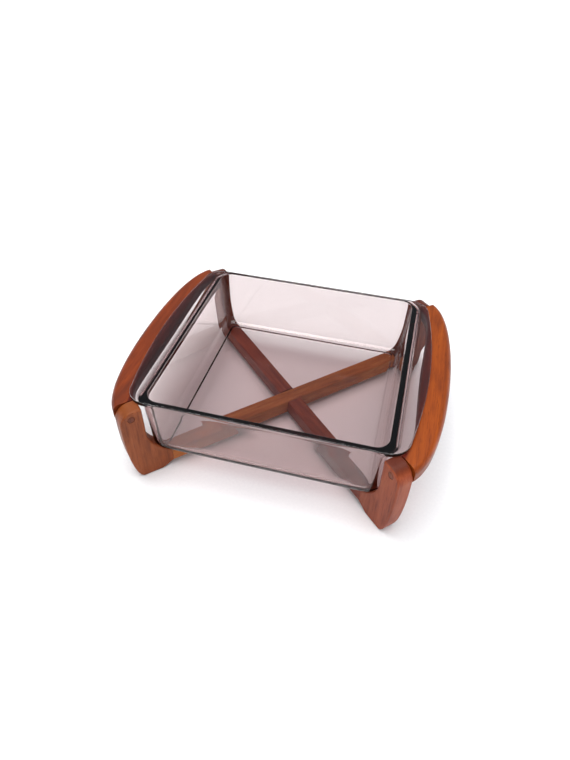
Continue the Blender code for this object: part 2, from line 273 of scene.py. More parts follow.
fin = foot_outline()
fin_moves = inward(fin)
at_seam = np.abs(fin[:, 0] - SEAM_FACE) < 1e-6
fin_moves[at_seam] = np.stack([0.0 * fin[at_seam, 1], np.where(fin[at_seam, 1] > 0.01, -1.0, 1.0)], axis=1)
print(f"foot outline has {len(fin)} points and {at_seam.sum()} of them on the seam")

# %% [markdown]
# ## Holes, screws, plugs and dowels
# A countersunk screw goes through each horn into the end of a handle, under a teak plug.  Two beech dowels pin
# each foot to its bar.  The holes are drilled a little wide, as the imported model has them.

# %% Joinery sizes
SCREW_T = 160.4 * MM                                        # radius of the screw's axis
SCREW_Z = 74.0 * MM                                         # its height
PLUG_LENGTH = 4.0 * MM
SEAT = HALF - PLUG_LENGTH - GLUE                            # where the screw's head ends, under the plug
HEAD = 2.2 * MM                                             # depth of the countersunk head
HEAD_RADIUS = 2.8 * MM
SHANK_RADIUS = 1.75 * MM
SCREW_LENGTH = 28.0 * MM
PLUG_RADIUS = 3.0 * MM
DOWEL_RADIUS = 2.5 * MM
DOWEL_HALF = 12.0 * MM
DOWEL_OFFSET = 3.7 * MM                                     # from the middle of the bar to each dowel
dowel_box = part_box("front_right_inner_dowel")
DOWEL_Z = (dowel_box[0].z + dowel_box[1].z) / 2


def dowel_holes(degrees):
    """Cutters for the two dowel holes of a seam."""
    reach = DOWEL_HALF + GLUE
    radius = DOWEL_RADIUS + GLUE
    cutters = []
    for offset in (-DOWEL_OFFSET, DOWEL_OFFSET):
        rings = turned([radius, radius], [SEAM - reach, SEAM + reach], 32)
        rings = rings + np.array([0.0, offset, DOWEL_Z])
        cutters.append(solid("dowel_hole", about_z(rings, degrees)))
    return cutters


def round_hole(radius, low, high, side, degrees):
    """Cutter along the thickness of a foot on the screw's axis, from low to high away from the handle."""
    rings = turned([radius, radius], [low, high], 40)
    return solid("screw_hole", face_on(rings, side, SCREW_T, SCREW_Z, degrees))


# %% [markdown]
# ## Cutting out and drilling the feet
# The four feet share one outline, turned to their diagonals.  Exact Booleans cut the dowel holes, the screw's
# hole and the wider hole for its plug, as a drill would.  A Weighted Normal modifier comes last, when the faces
# are final, so that the large flat faces stay evenly lit up to their rounded edges.

# %% Feet
feet = {}
for corner, (degrees, side) in CORNERS.items():
    rings = about_z(rounded_over(fin, HALF, EDGE, fin_moves), degrees)
    foot = solid(corner + "_fin", rings)
    holes = dowel_holes(degrees)
    holes.append(round_hole(PLUG_RADIUS + GLUE, SEAT - HEAD - GLUE, 2 * HALF, side, degrees))
    holes.append(round_hole(SHANK_RADIUS + GLUE, -2 * HALF, HALF, side, degrees))
    drill(foot, holes)
    even_normals(foot)
    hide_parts(corner + "_foot")
    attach(foot, "stand")
    feet[corner] = foot
    print(foot.name, len(foot.data.vertices), "vertices")

# %% [markdown]
# ## The crossed bars
# A bar is a square stick with its four long arrises rounded.  Half of its depth is notched away where it
# crosses the other.  The section is one parameter and the distance along the bar is the other: at the notch,
# the section's top or bottom is simply pressed to the middle of the bar.

# %% Bars
def stick_section(half, low, high, edge, steps=6):
    """Rounded rectangle in (y, z) as four quarter circles."""
    angle = np.linspace(0.0, math.pi / 2.0, steps)
    points = []
    for quarter, (y, z) in enumerate(((half, high), (-half, high), (-half, low), (half, low))):
        turn = angle + quarter * math.pi / 2.0
        centre_y = y - math.copysign(edge, y)
        centre_z = z - edge if z == high else z + edge
        points.append(np.stack([centre_y + edge * np.cos(turn), centre_z + edge * np.sin(turn)], axis=1))
    return np.concatenate(points)


def stick(notch_low, notch_high):
    """Sections along X; between the notch walls the height is limited to notch_low..notch_high."""
    wall = HALF + GLUE
    step = 0.04 * MM
    ends = SEAM - GLUE / 2
    arm = np.linspace(ends, wall + step, 24)
    along = np.concatenate([-arm, [-wall, wall], arm[::-1]])
    section = stick_section(HALF, SEAM_LOW, SEAM_TOP, EDGE)
    x = along[:, None] + 0.0 * section[:, 0]
    y = section[:, 0] + 0.0 * x
    z = section[:, 1] + 0.0 * x
    notched = np.abs(x) <= wall + step / 2
    z = np.where(notched, np.clip(z, notch_low, notch_high), z)
    return np.stack([x, y, z], axis=-1)


LAP = (SEAM_LOW + SEAM_TOP) / 2
bars = {}
for name, degrees, low, high in (
    ("upper_cross_bar", 45.0, LAP + GLUE / 2, 1.0),
    ("lower_cross_bar", -45.0, -1.0, LAP - GLUE / 2),
):
    piece = solid(name.replace("cross_bar", "rail"), about_z(stick(low, high), degrees))
    drill(piece, dowel_holes(degrees) + dowel_holes(degrees + 180.0))
    even_normals(piece)
    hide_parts(name)
    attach(piece, "stand")
    bars[name] = piece
    print(piece.name, len(piece.data.vertices), "vertices")

# %% [markdown]
# ## The handles
# A handle is sawn from a wide board to a bowed plan, so that it runs square out of the face of one foot, along
# the side of the dish and square into the next foot.  Both of its sides are rounded generously.  Both plan
# edges are curves, and the section between them is a rounded rectangle whose width follows the distance
# between the curves.

# %% Handles
TURN = 13.0 * MM                                            # how far it runs straight out of its foot
GRIP_OUT = grip_high.x                                      # outer edge at mid-length
GRIP_IN = 120.5 * MM                                        # inner edge at mid-length
PALM_EDGE = 5.5 * MM                                        # rounding of the outer side
DISH_SIDE_EDGE = 5.0 * MM                                   # and of the inner side


def grip_plan(count):
    """Inner and outer plan curves from the front foot to the rear one, mirrored about the middle."""
    face = HALF + GLUE
    ends = [np.array([radius + face, -radius + face]) / ROOT2 for radius in (HORN, BACK)]
    curves = []
    for end, side, pull in ((ends[0], GRIP_IN, 50 * MM), (ends[1], GRIP_OUT, 60 * MM)):
        front = bezier([end, end + TURN, (side, -pull), (side, 0.0)], count)
        rear = front[-2::-1] * np.array([1.0, -1.0])
        curves.append(np.concatenate([front, rear]))
    return curves


def grip_section(low, high):
    """Section as share across (0 inner, 1 outer), metres in from that edge, and height."""
    steps = np.linspace(0.0, math.pi / 2.0, 9)
    rows = []
    for share, edge, z, start in (
        (1.0, PALM_EDGE, high, 0.0), (0.0, DISH_SIDE_EDGE, high, 0.5),
        (0.0, DISH_SIDE_EDGE, low, 1.0), (1.0, PALM_EDGE, low, 1.5),
    ):
        turn = steps + start * math.pi
        inset = (edge if share == 0.0 else -edge) + edge * np.cos(turn)
        centre = z - edge if z == high else z + edge
        rows.append(np.stack([share + 0.0 * turn, inset, centre + edge * np.sin(turn)], axis=1))
    return np.concatenate(rows)


def grip(degrees):
    """Rings along the handle: inner + share (outer - inner) + inset along the line between them."""
    inner, outer = grip_plan(61)
    section = grip_section(grip_low.z, grip_high.z)
    across = outer - inner
    unit = across / np.linalg.norm(across, axis=1, keepdims=True)
    share, inset, height = section.T
    plan = inner[:, None, :] + share[:, None] * across[:, None, :] + inset[:, None] * unit[:, None, :]
    z = height + 0.0 * plan[..., 0]
    return about_z(np.concatenate([plan, z[..., None]], axis=-1), degrees)


handles = {}
for name, degrees in (("right_handle", 0.0), ("left_handle", 180.0)):
    piece = solid(name.replace("handle", "grip"), grip(degrees))
    pilots = []
    bottom = SEAT - SCREW_LENGTH - GLUE
    for diagonal, side in ((-45.0, 1), (45.0, -1)):
        pilots.append(round_hole(SHANK_RADIUS + GLUE, bottom, 0.0, side, degrees + diagonal))
    drill(piece, pilots)
    even_normals(piece)
    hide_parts(name)
    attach(piece, "stand")
    handles[name] = piece
    print(piece.name, len(piece.data.vertices), "vertices")

# %% [markdown]
# ## Screws, plugs and dowels
# The screw's thread is a ridge whose phase grows with both the angle and the distance along the screw.  The
# dowel's flutes depend on the angle alone.  The plug is a short turned stub with a faintly domed face, sanded
# flush with the foot.

# %% Fasteners
THREAD_PITCH = 1.6 * MM
THREAD_DEPTH = 0.45 * MM
THREAD_LENGTH = 17.0 * MM
POINT = 5.0 * MM                                            # length of the screw's taper
SLOT = 0.8 * MM                                             # width and depth of the driver slot
FLUTES = 16
FLUTE_DEPTH = 0.18 * MM


def thread(along, angle):
    """Cut below the shank: sharp ridges with flat valleys, faded in and out over one pitch."""
    phase = (along / THREAD_PITCH - angle / (2.0 * math.pi)) % 1.0
    cut = THREAD_DEPTH * np.minimum(1.0, np.abs(phase - 0.5) * 2.0 * 1.3)
    start = SEAT - SCREW_LENGTH + THREAD_LENGTH
    tip = SEAT - SCREW_LENGTH + THREAD_PITCH / 2.0
    fade_in = np.clip((start - along) / THREAD_PITCH, 0.0, 1.0)
    fade_out = np.clip((along - tip) / THREAD_PITCH, 0.0, 1.0)
    return -cut * fade_in * fade_out


def flutes(along, angle):
    """Shallow grooves along a dowel: a raised cosine of the angle."""
    return -FLUTE_DEPTH * (0.5 + 0.5 * np.cos(FLUTES * angle)) ** 3


def screw_rings():
    """Head, cone, shank and point, with enough rings along the shank for the thread."""
    tip = SEAT - SCREW_LENGTH
    shank = np.linspace(SEAT - HEAD, tip + POINT, 150)
    point = np.linspace(tip + POINT, tip, 30)[1:]
    along = np.concatenate([[SEAT, SEAT - HEAD * 0.3, SEAT - HEAD * 0.4], shank, point])
    head = np.array([HEAD_RADIUS - 0.15 * MM, HEAD_RADIUS, HEAD_RADIUS])
    taper = SHANK_RADIUS * np.linspace(1.0, 0.25, 30)[1:]
    radius = np.concatenate([head, SHANK_RADIUS + 0.0 * shank, taper])
    return turned(radius, along, 40, thread)


def plug_rings():
    """Stub with its face domed by a twentieth of a millimetre."""
    radius = PLUG_RADIUS * np.array([1.0, 1.0, 1.0, 0.93, 0.6, 0.2])
    along = HALF + np.array([-PLUG_LENGTH, -1.0 * MM, -0.15 * MM, 0.0, 0.04 * MM, 0.05 * MM])
    return turned(radius, along, 48)


def dowel_rings():
    """Fluted rod with chamfered ends."""
    chamfer = 0.6 * MM
    along = SEAM + np.array([-DOWEL_HALF, -DOWEL_HALF + chamfer, DOWEL_HALF - chamfer, DOWEL_HALF])
    return turned(DOWEL_RADIUS - np.array([chamfer, 0.0, 0.0, chamfer]), along, 96, flutes)


def slot_cutter(side, degrees):
    """Box across the screw's head, as deep as it is wide."""
    square = np.array([[-1.0, -1.0], [1.0, -1.0], [1.0, 1.0], [-1.0, 1.0]])
    outline = square * np.array([2.0 * HEAD_RADIUS, SLOT / 2.0])
    ends = [np.column_stack([np.full(4, along), outline]) for along in (SEAT - SLOT, SEAT + MM)]
    return solid("slot", face_on(np.array(ends), side, SCREW_T, SCREW_Z, degrees))


small = {"screws": [], "plugs": [], "dowels": []}
for corner, (degrees, side) in CORNERS.items():
    screw = solid(corner + "_wood_screw", face_on(screw_rings(), side, SCREW_T, SCREW_Z, degrees))
    drill(screw, [slot_cutter(side, degrees)])
    plug = solid(corner + "_face_plug", face_on(plug_rings(), side, SCREW_T, SCREW_Z, degrees))
    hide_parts(corner + "_screw")
    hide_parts(corner + "_plug")
    small["screws"].append(screw)
    small["plugs"].append(plug)
    for label, offset in (("inner", -DOWEL_OFFSET), ("outer", DOWEL_OFFSET)):
        rings = dowel_rings() + np.array([0.0, offset, DOWEL_Z])
        dowel = solid(f"{corner}_{label}_pin", about_z(rings, degrees))
        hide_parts(f"{corner}_{label}_dowel")
        small["dowels"].append(dowel)
for pieces in small.values():
    for piece in pieces:
        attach(piece, "stand")
print({kind: len(pieces) for kind, pieces in small.items()})

# %% [markdown]
# ## The glass dish
# The dish is pressed in a mould: walls of 4.5 mm that lean out by a few degrees, a cove into a flat floor, a
# flat-topped rim, a bowed lug on two sides and a base whose middle is a little raised.  One closed surface has
# to do for inside and outside, because light bends at both.  The rounded square in plan is one parameter.
# The other runs from the base, up the outside, over the rim and down the inside to the floor.  Each ring has
# its own half-widths, corner radius and bow, so the same formula draws the square base and the bowed lugs.

# %% Dish
DRAFT = math.radians(4.5)                                   # lean of the walls
COVE = 10.5 * MM                                            # outside, between wall and base
INNER_COVE = 7.0 * MM
MOUTH = 107.5 * MM                                          # half-width outside, just under the rim
INSIDE = 103.0 * MM                                         # half-width inside
RIM = dish_high.y
LUG = 120.5 * MM                                            # reach of the lugs at their corners
BOW = dish_high.x - LUG                                     # how much further they reach at the middle
LUG_EDGE = 0.8 * MM
FLOOR = 5.0 * MM                                            # thickness of the glass in the floor
PANEL = 1.4 * MM                                            # how far the middle of the base is raised
ROOT = np.array([6.5, 0.3, 5.5]) * MM                       # fillet under the lugs in x, y and z
LUG_UNDER = 81.9 * MM - dish_low.z                          # underside of the lugs, from the base
TALL = dish_high.z - dish_low.z
BASE_CORNER = 9.5 * MM                                      # outside, just above the cove
WALL_CORNER = 13.5 * MM                                     # outside, just under the lugs
PINCH = 0.5                                                 # share of the cove by which the corners tighten
LIP = 0.9 * MM                                              # rounding of the inner lip
RIM_CORNER = 16.5 * MM
LUG_CORNER = 19.0 * MM


def plan_ring(half_x, half_y, radius, bow):
    """Rounded rectangle: quarter circles, straight front and back, parabolic left and right sides."""
    arc = np.linspace(0.0, math.pi / 2.0, 15)
    share = np.linspace(0.0, 1.0, 34)[1:-1]
    parts = []
    for sign_x, sign_y, quarter in ((1, 1, 0), (-1, 1, 1), (-1, -1, 2), (1, -1, 3)):
        turn = arc + quarter * math.pi / 2.0
        end_x, end_y = half_x - radius, half_y - radius
        centre = np.array([sign_x * end_x, sign_y * end_y])
        parts.append(centre + radius * np.stack([np.cos(turn), np.sin(turn)], axis=1))
        if sign_x == sign_y:
            x = sign_x * end_x * (1.0 - 2.0 * share)
            parts.append(np.stack([x, sign_y * half_y + 0.0 * share], axis=1))
        else:
            y = sign_y * end_y * (1.0 - 2.0 * share)
            x = sign_x * (half_x + bow * (1.0 - (y / end_y) ** 2))
            parts.append(np.stack([x, y], axis=1))
    return np.concatenate(parts)


def wall(half, corner, high_corner, cove, low, high):
    """Rows of (half_x, half_y, corner, bow, z): cove and leaning wall, from the flat at low up to high."""
    centre = low + cove
    wall_foot = half - (high - centre) * math.tan(DRAFT)
    flat = wall_foot - cove / math.cos(DRAFT)
    turn = np.linspace(0.0, math.pi / 2.0 - DRAFT, 15)
    up = np.linspace(0.0, 1.0, 12)[1:]
    size = flat + cove * np.sin(turn)
    rise = centre - cove * np.cos(turn)
    radius = corner - cove * (1.0 - np.sin(turn)) * PINCH
    size = np.concatenate([size, size[-1] + up * (half - size[-1])])
    radius = np.concatenate([radius, corner + up * (high_corner - corner)])
    rise = np.concatenate([rise, rise[-1] + up * (high - rise[-1])])
    return np.stack([size, size, radius, 0.0 * size, rise], axis=1)


def panel(start, lift):
    """Rows from the middle out to start, with the middle raised by lift over a short steep step."""
    size, _, corner, _, z = start
    rows = []
    for inset, height in ((12.0, lift), (4.0, lift), (2.4, 0.92 * lift), (1.1, 0.08 * lift), (0.3, 0.0)):
        rows.append((size - inset * MM, size - inset * MM, corner * (1.0 - inset / 40.0), 0.0, z + height))
    return np.array(rows)


def rim():
    """Rows over the rim: fillet under the lug, its edge, and the flat top back to the round inner lip."""
    rows = []
    for turn in np.linspace(0.0, math.pi / 2.0, 7)[1:]:
        out = 1.0 - math.cos(turn)
        z = LUG_UNDER - ROOT[2] * (1.0 - math.sin(turn))
        corner = WALL_CORNER + out * (RIM_CORNER - WALL_CORNER)
        rows.append((MOUTH + ROOT[0] * out, MOUTH + ROOT[1] * out, corner, 0.0, z))
    edge = LUG_EDGE
    for share in (0.3, 0.7):
        size_x = MOUTH + ROOT[0] + share * (LUG - edge - MOUTH - ROOT[0])
        corner = RIM_CORNER + share * (LUG_CORNER - edge - RIM_CORNER)
        rows.append((size_x, MOUTH + ROOT[1], corner, share * BOW, LUG_UNDER))
    for turn in np.linspace(-math.pi / 2.0, math.pi / 2.0, 12):
        out = edge * (1.0 - math.cos(turn))
        centre = LUG_UNDER + edge if turn < 0.0 else TALL - edge
        out_y = min(out, RIM - MOUTH - ROOT[1]) if turn < 0.0 else out
        rows.append((LUG - out, RIM - out_y, LUG_CORNER - out, BOW, centre + edge * math.sin(turn)))
    lip = INSIDE + LIP
    for share in (0.4, 0.8):
        size_x = LUG - edge + share * (lip - LUG + edge)
        size_y = RIM - edge + share * (lip - RIM + edge)
        corner = LUG_CORNER - edge + share * (RIM_CORNER - RIM + lip - LUG_CORNER + edge)
        rows.append((size_x, size_y, corner, (1.0 - share) * BOW, TALL))
    for turn in np.linspace(0.0, math.pi / 2.0, 7)[:-1]:
        size = lip - LIP * math.sin(turn)
        rows.append((size, size, RIM_CORNER - RIM + size, 0.0, TALL - LIP * (1.0 - math.cos(turn))))
    return np.array(rows)


def dish_rings():
    """All rings of the dish, from the middle of the base round to the middle of the floor."""
    outside = wall(MOUTH, BASE_CORNER, WALL_CORNER, COVE, 0.0, LUG_UNDER - ROOT[2])
    inside = wall(INSIDE, 0.8 * BASE_CORNER, RIM_CORNER - RIM + INSIDE, INNER_COVE, FLOOR, TALL - LIP)
    base, floor_middle = panel(outside[0], PANEL), panel(inside[0], 0.0)[::-1]
    rows = np.concatenate([base, outside, rim(), inside[::-1], floor_middle])
    rings = []
    for *plan, height in rows:
        flat = plan_ring(*plan)
        rings.append(np.column_stack([flat, np.full(len(flat), height + dish_low.z)]))
    return np.array(rings)


dish = solid("baking_dish", dish_rings(), smooth=60.0)
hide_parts("glass_dish")
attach(dish, "dish")
print("dish", len(dish.data.vertices), "vertices, wall", round(1000 * (MOUTH - INSIDE), 1), "mm")

# %% [markdown]
# ## Colours and nodes
# Colours are written as the sRGB hex values that a painter would pick, and one function turns them into the
# linear values that Blender's shaders work in.  One more function adds a node with its settings and links,
# which keeps each material short enough to read as a recipe.

# %% Colour and node helpers
def linear(code, alpha=1.0):
    """sRGB hex such as 'A5541E' to linear red, green, blue and alpha."""
    shares = np.array([int(code[at:at + 2], 16) / 255.0 for at in (0, 2, 4)])
    value = np.where(shares <= 0.04045, shares / 12.92, ((shares + 0.055) / 1.055) ** 2.4)
    return (*value.tolist(), alpha)


def add(tree, kind, inputs=None, **settings):
    """Add a node of this kind, set its properties, and fill or link its inputs by name or number."""
    made = tree.nodes.new("ShaderNode" + kind)
    for name, value in settings.items():
        setattr(made, name, value)
    for name, value in (inputs or {}).items():
        if isinstance(value, bpy.types.NodeSocket):
            tree.links.new(value, made.inputs[name])
        else:
            made.inputs[name].default_value = value
    return made


def start(name):
    """New material with an empty tree."""
    made = bpy.data.materials.new(name)
    made.use_nodes = True
    made.node_tree.nodes.clear()
    return made, made.node_tree


def stops(ramp, *pairs):
    """Set the colours of a ramp from (position, linear colour) pairs."""
    elements = ramp.color_ramp.elements
    while len(elements) < len(pairs):
        elements.new(0.5)
    for element, (position, colour) in zip(elements, pairs):
        element.position = position
        element.color = colour
    return ramp


def blend(tree, amount, one, two, mode="MIX"):
    """Colour blended from one to two by amount, in any of Blender's blend modes."""
    node = add(tree, "Mix", {0: amount, 6: one, 7: two}, data_type="RGBA", blend_type=mode)
    return node.outputs[2]


# %% [markdown]
# ## Oiled teak
# Teak is an oily, open-pored, orange-brown wood.  Sanded and oiled, it has a satin skin through which three
# things show: soft streaks along the grain a few millimetres apart, short dark pores, and slow changes of hue
# from board to board.  Where a piece is cut across the grain it drinks more oil and goes dark.  The pattern
# is solid, so it is read from Object coordinates and stretched along the grain by a Mapping node; a board cut
# at an angle simply turns that mapping.  Real pores are about 0.2 mm wide, too fine to show, so they are
# drawn about 0.6 mm wide.  The handles have one more step, a painted shade: it darkens the strip that the
# lugs cover, where the glass shades the wood.

# %% Teak
STREAK = 3.0 * MM                                           # sizes of the figure, across the grain
BAND = 11.0 * MM
PORE = 0.6 * MM
BLOTCH = 45.0 * MM
STRETCH = 0.07                                              # squeezes streaks and pores along the grain
WIDE_STRETCH = 0.22                                         # and bands and blotches
WHITE = (1.0, 1.0, 1.0, 1.0)
DULL = (0.80, 0.76, 0.72, 1.0)                              # multiplies the duller parts of a board
BRIGHT = (1.12, 1.08, 1.04, 1.0)                            # and its brighter parts
PORE_TINT = (0.52, 0.44, 0.40, 1.0)
# Painted shade: this tint darkens the handle wood under the lugs, where the lugs shade it.
LUG_SHADE_PAINT = (0.42, 0.16, 0.06, 1.0)                       # multiplies the wood under the lugs


def teak(name, dark, mid, light, end, rotation, grain, offset, gloss=0.40, painted_lug_shade=False):
    """Oiled, sanded teak whose grain runs along the unit vector grain; rotation lays that along X."""
    made, tree = start(name)
    place = add(tree, "TexCoord").outputs["Object"]
    turned_place = add(tree, "Mapping", {"Vector": place, "Rotation": rotation, "Location": offset})
    along = add(tree, "Mapping", {"Vector": turned_place.outputs[0], "Scale": (STRETCH, 1.0, 1.0)}).outputs[0]
    squeeze = {"Vector": turned_place.outputs[0], "Scale": (WIDE_STRETCH, 1.0, 1.0)}
    wide = add(tree, "Mapping", squeeze).outputs[0]
    streak = add(tree, "TexNoise", {
        "Vector": along, "Scale": 1.0 / STREAK, "Detail": 5.0, "Roughness": 0.62, "Distortion": 0.35,
    }).outputs["Fac"]
    band = add(tree, "TexNoise", {
        "Vector": wide, "Scale": 1.0 / BAND, "Detail": 2.0, "Roughness": 0.5, "Distortion": 0.8,
    }).outputs["Fac"]
    blotch = add(tree, "TexNoise", {"Vector": wide, "Scale": 1.0 / BLOTCH, "Detail": 2.0}).outputs["Fac"]
    figure = add(tree, "Mix", {0: 0.45, 2: streak, 3: band}, data_type="FLOAT").outputs[0]
    streaks = (0.30, linear(dark)), (0.50, linear(mid)), (0.72, linear(light))
    ramp = stops(add(tree, "ValToRGB", {"Fac": figure}), *streaks)
    shade = stops(add(tree, "ValToRGB", {"Fac": blotch}), (0.30, DULL), (0.70, BRIGHT))
    board = blend(tree, 1.0, ramp.outputs[0], shade.outputs[0], "MULTIPLY")
    pore_noise = add(tree, "TexNoise", {
        "Vector": along, "Scale": 1.0 / PORE, "Detail": 1.0, "Roughness": 0.4,
    }).outputs["Fac"]
    pores = stops(add(tree, "ValToRGB", {"Fac": pore_noise}), (0.60, WHITE), (0.74, PORE_TINT))
    sanded = blend(tree, 0.75, board, pores.outputs[0], "MULTIPLY")
    normal = add(tree, "NewGeometry").outputs["Normal"]
    facing = add(tree, "VectorMath", {0: normal, 1: grain}, operation="DOT_PRODUCT").outputs["Value"]
    across = add(tree, "Math", {0: facing}, operation="ABSOLUTE").outputs[0]
    cut = add(tree, "MapRange", {
        "Value": across, "From Min": 0.55, "From Max": 0.95, "To Min": 0.0, "To Max": 0.85,
    }, interpolation_type="SMOOTHSTEP").outputs[0]
    colour = blend(tree, cut, sanded, linear(end))
    # Painted shade on the handles: the strip under the lugs is darkened, as the lugs shade it.
    if painted_lug_shade:
        colour = paint_lug_shade(tree, place, colour)
    rough = add(tree, "MapRange", {
        "Value": figure, "From Min": 0.3, "From Max": 0.7, "To Min": gloss + 0.08, "To Max": gloss - 0.06,
    })
    relief = add(tree, "Math", {0: figure, 1: pores.outputs[0]}, operation="MULTIPLY").outputs[0]
    bump = add(tree, "Bump", {"Height": relief, "Strength": 0.35, "Distance": 0.25 * MM}).outputs[0]
    shader = add(tree, "BsdfPrincipled", {
        "Base Color": colour, "Roughness": rough.outputs[0], "Normal": bump, "IOR": 1.5,
        "Specular IOR Level": 0.24,
    })
    add(tree, "OutputMaterial", {"Surface": shader.outputs[0]})
    return made


def paint_lug_shade(tree, place, colour):
    """Painted shade: darken the wood that the lug covers and shades, which is all of it inside the bowed edge
    |x| + k y^2 = c.
    """
    parts = add(tree, "SeparateXYZ", {0: place})
    across = add(tree, "Math", {0: parts.outputs["X"]}, operation="ABSOLUTE").outputs[0]
    length = parts.outputs["Y"]
    squared = add(tree, "Math", {0: length, 1: length}, operation="MULTIPLY").outputs[0]
    curvature = BOW / (RIM - LUG_CORNER) ** 2
    reach = add(tree, "Math", {0: squared, 1: curvature, 2: across}, operation="MULTIPLY_ADD").outputs[0]
    # Mask of the painted shade: 0 under the lug, where the wood is darkened, and 1 beyond its bowed edge.
    clear_of_painted_shade = add(tree, "MapRange", {
        "Value": reach, "From Min": LUG + BOW - 1.0 * MM, "From Max": LUG + BOW + 0.4 * MM,
    }).outputs[0]
    return blend(tree, 1.0, colour, blend(tree, clear_of_painted_shade, LUG_SHADE_PAINT, WHITE), "MULTIPLY")


def diagonal(degrees):
    """Unit vector along a diagonal and the turn that lays it along X."""
    turn = math.radians(degrees)
    return (math.cos(turn), math.sin(turn), 0.0), (0.0, 0.0, -turn)


UPRIGHT = (0.0, 0.0, 1.0)
STAND_UP = (0.0, math.radians(90.0), 0.0)
ALONG_Y = (0.0, 1.0, 0.0)
FOOT_BOARDS = {
    "front_right": ("622410", "8A3F22", "A05330", "4A1402"),
    "rear_right": ("4E1E10", "6C3018", "84442A", "4A1804"),
    "rear_left": ("4E1E10", "6C3018", "84442A", "4A1804"),
    "front_left": ("552610", "7C3D1A", "945028", "7E4018"),
}                                                           # dark, middle and light streaks, end grain
for index, (corner, foot) in enumerate(feet.items()):
    seed = (0.31 * index, 0.17 * index, 0.07)
    wood = teak(f"oiled_teak_{corner}_foot", *FOOT_BOARDS[corner], STAND_UP, UPRIGHT, seed, 0.44)
    foot.data.materials.append(wood)
for name, colours, degrees, seed in (
    ("upper_cross_bar", ("80461F", "A8612C", "C07A42", "7A4020"), 45.0, 0.9),
    ("lower_cross_bar", ("582012", "783521", "904A32", "5A2414"), -45.0, 1.7),
):
    grain, rotation = diagonal(degrees)
    wood = teak("oiled_teak_" + name, *colours, rotation, grain, (seed, seed / 3, 0.0), 0.42)
    bars[name].data.materials.append(wood)
for name, colours, seed in (
    ("right_handle", ("62270A", "863C0E", "A04E16", "4A1802"), 2.3),
    ("left_handle", ("54200A", "742F10", "8C3E18", "441602"), 3.1),
):
    turn = (0.0, 0.0, math.radians(-90.0))
    # The handles get painted shade on the strip under the lugs.
    wood = teak("oiled_teak_" + name, *colours, turn, ALONG_Y, (seed, seed / 3, 0.0), 0.36, painted_lug_shade=True)
    handles[name].data.materials.append(wood)
plug_colours = ("4A2010", "6B3420", "84482C", "4A2010")
plug_teak = teak("oiled_teak_plugs", *plug_colours, STAND_UP, UPRIGHT, (4.0, 0.3, 0.2), 0.45)
for plug in small["plugs"]:
    plug.data.materials.append(plug_teak)
print(len([m for m in bpy.data.materials if m.name.startswith("oiled_teak")]), "teak finishes")

# %% [markdown]
# ## Beech dowels and zinc-plated screws
# Neither shows when the stand is together, but they do in a section or when the model is taken apart.  Beech
# is pale and fine, with short dark flecks.  Zinc plate is a metal, so its colour is what it mirrors, and its
# passivated skin is a little cloudy.

# %% Beech and zinc
FLECK = 0.8 * MM
CLOUD = 2.0 * MM


def turned_beech():
    """Pale beech with flecks 0.8 mm wide."""
    made, tree = start("turned_beech")
    place = add(tree, "TexCoord").outputs["Object"]
    fleck = add(tree, "TexNoise", {"Vector": place, "Scale": 1.0 / FLECK, "Detail": 2.0}).outputs["Fac"]
    ramp = stops(add(tree, "ValToRGB", {"Fac": fleck}), (0.35, linear("B98D62")), (0.65, linear("D9B78C")))
    bump = add(tree, "Bump", {"Height": fleck, "Strength": 0.2, "Distance": 0.1 * MM}).outputs[0]
    shader = add(tree, "BsdfPrincipled", {"Base Color": ramp.outputs[0], "Roughness": 0.6, "Normal": bump})
    add(tree, "OutputMaterial", {"Surface": shader.outputs[0]})
    return made


def zinc_plate():
    """Zinc-plated steel: a metal with cloudy roughness patches 2 mm across."""
    made, tree = start("zinc_plated_steel")
    place = add(tree, "TexCoord").outputs["Object"]
    cloud = add(tree, "TexNoise", {"Vector": place, "Scale": 1.0 / CLOUD, "Detail": 3.0}).outputs["Fac"]
    rough = add(tree, "MapRange", {"Value": cloud, "To Min": 0.22, "To Max": 0.48}).outputs[0]
    ramp = stops(add(tree, "ValToRGB", {"Fac": cloud}), (0.3, linear("B9BDC0")), (0.7, linear("D5D3CB")))
    shader = add(tree, "BsdfPrincipled", {"Base Color": ramp.outputs[0], "Metallic": 1.0, "Roughness": rough})
    add(tree, "OutputMaterial", {"Surface": shader.outputs[0]})
    return made


beech = turned_beech()
zinc = zinc_plate()
for piece in small["dowels"]:
    piece.data.materials.append(beech)
for piece in small["screws"]:
    piece.data.materials.append(zinc)
print("finished", len(small["dowels"]), "dowels and", len(small["screws"]), "screws")

# %% [markdown]
# ## Smoky amethyst glass
# Tinted glass has no colour on its surface: the tint comes from metal in the melt, and grows with the distance
# that light travels inside.  So a wall seen face on is a pale mauve-grey, and the rim and the corners, where
# light runs along the wall, are nearly black.  The surface is clear, smooth and bends light as soda-lime glass
# does, and a Volume Absorption shader takes away more green and blue than red on the way through.  Pressed
# glass is never quite flat, so a very shallow bump wrinkles its reflections.
#
# Bent light that reaches the wood and the floor makes caustics, which are slow and noisy to render.  So shadow
# rays, and rays scattered by a matt surface, go straight through a Transparent shader with a fixed tint.

# %% Glass
RIPPLE = 14.0 * MM


